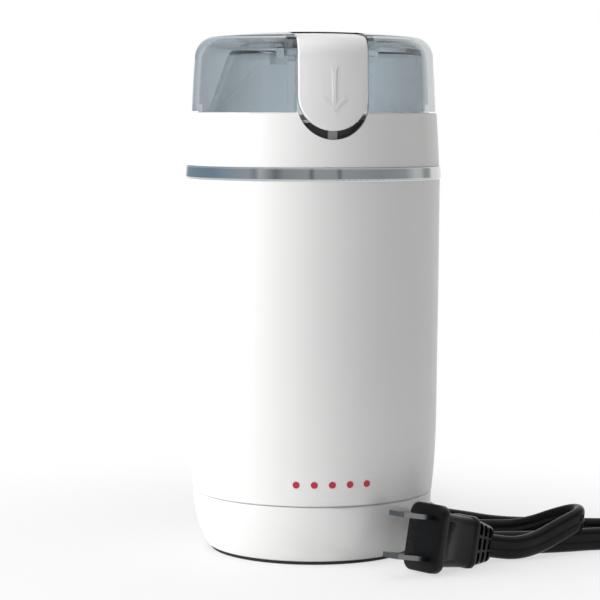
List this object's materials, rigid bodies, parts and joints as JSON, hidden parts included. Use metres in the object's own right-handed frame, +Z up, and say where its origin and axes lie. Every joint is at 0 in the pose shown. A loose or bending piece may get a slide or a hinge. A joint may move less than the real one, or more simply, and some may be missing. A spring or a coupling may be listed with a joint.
{
  "type": "electric spice grinder",
  "caption": "Upright cylindrical electric spice grinder with a clear push-button lid, chrome band, steel bowl and blade, indicator lamps and a flat mains cord with plug.",
  "frame": {"origin": "on the surface it stands on, under the grinder's axis", "axes": "+Z up along the motor shaft, -Y towards the front, where the push tongue and the lamps are; +X to the right as the front is seen"},
  "size_m": [0.1655, 0.2037, 0.1664],
  "materials": {
    "white_plastic": "gloss",
    "chrome": "polished",
    "clear_plastic": "clear",
    "black_plastic": "satin",
    "steel": "brushed",
    "rubber": "matte",
    "silicone": "translucent matte",
    "bronze": "sintered",
    "copper": "enamelled wire",
    "laminations": "stacked sheet",
    "carbon": "matte",
    "brass": "plain",
    "red_lens": "gloss",
    "circuit_board": "satin",
    "cord_vinyl": "satin",
    "plated_brass": "nickel plated",
    "grey_plastic": "satin"
  },
  "bodies": {
    "housing": {"base_cover": "white_plastic", "foot_ring": "rubber", "base_screws": "steel", "body_shell": "white_plastic", "trim_ring": "chrome", "collar": "white_plastic", "bowl_housing": "black_plastic", "collar_screws": "steel", "grinding_bowl": "steel", "shaft_seal": "rubber", "upper_bearing": "bronze", "lower_bearing": "bronze", "lower_bracket": "black_plastic", "motor_bolts": "steel", "motor_mounts": "rubber", "stator_core": "laminations", "field_coils": "copper", "brushes": "carbon", "brush_holders": "brass", "brush_springs": "steel", "lid_switch": "black_plastic", "switch_terminals": "brass", "indicator_lenses": "red_lens", "indicator_board": "circuit_board", "thermal_fuse": "white_plastic", "internal_leads": "cord_vinyl", "strain_relief": "cord_vinyl", "cord": "cord_vinyl", "plug_body": "cord_vinyl", "plug_blades": "plated_brass"},
    "rotor": {"drive_shaft": "steel", "blade": "steel", "blade_spacer": "steel", "blade_nut": "steel", "armature_core": "laminations", "armature_windings": "copper", "commutator": "copper", "cooling_fan": "black_plastic"},
    "lid": {"lid_shell": "clear_plastic", "lid_inner_cup": "clear_plastic", "lid_gasket": "silicone", "button_spring": "steel"},
    "tongue": {"lid_button": "white_plastic"},
    "push_rod": {"switch_rod": "grey_plastic", "switch_plunger": "red_lens"}
  },
  "joints": [
    {"name": "blade_spin", "type": "hinge", "parent": "housing", "child": "rotor", "pos_m": [0, 0, 0.1], "axis": [0, 0, 1], "continuous": true},
    {"name": "lid_lift", "type": "slide", "parent": "housing", "child": "lid", "axis": [0, 0, 1], "range_m": [0, 0.05]},
    {"name": "tongue_press", "type": "slide", "parent": "lid", "child": "tongue", "axis": [0, 0, -1], "range_m": [0, 0.0024], "stiffness_N_per_m": 400, "springref_m": -0.002, "deforming": ["button_spring"]},
    {"name": "rod_press", "type": "slide", "parent": "housing", "child": "push_rod", "axis": [0, 0, -1], "range_m": [0, 0.0024]}
  ],
  "couplings": [
    {"joint": "rod_press", "follows": "tongue_press", "ratio": 1}
  ]
}
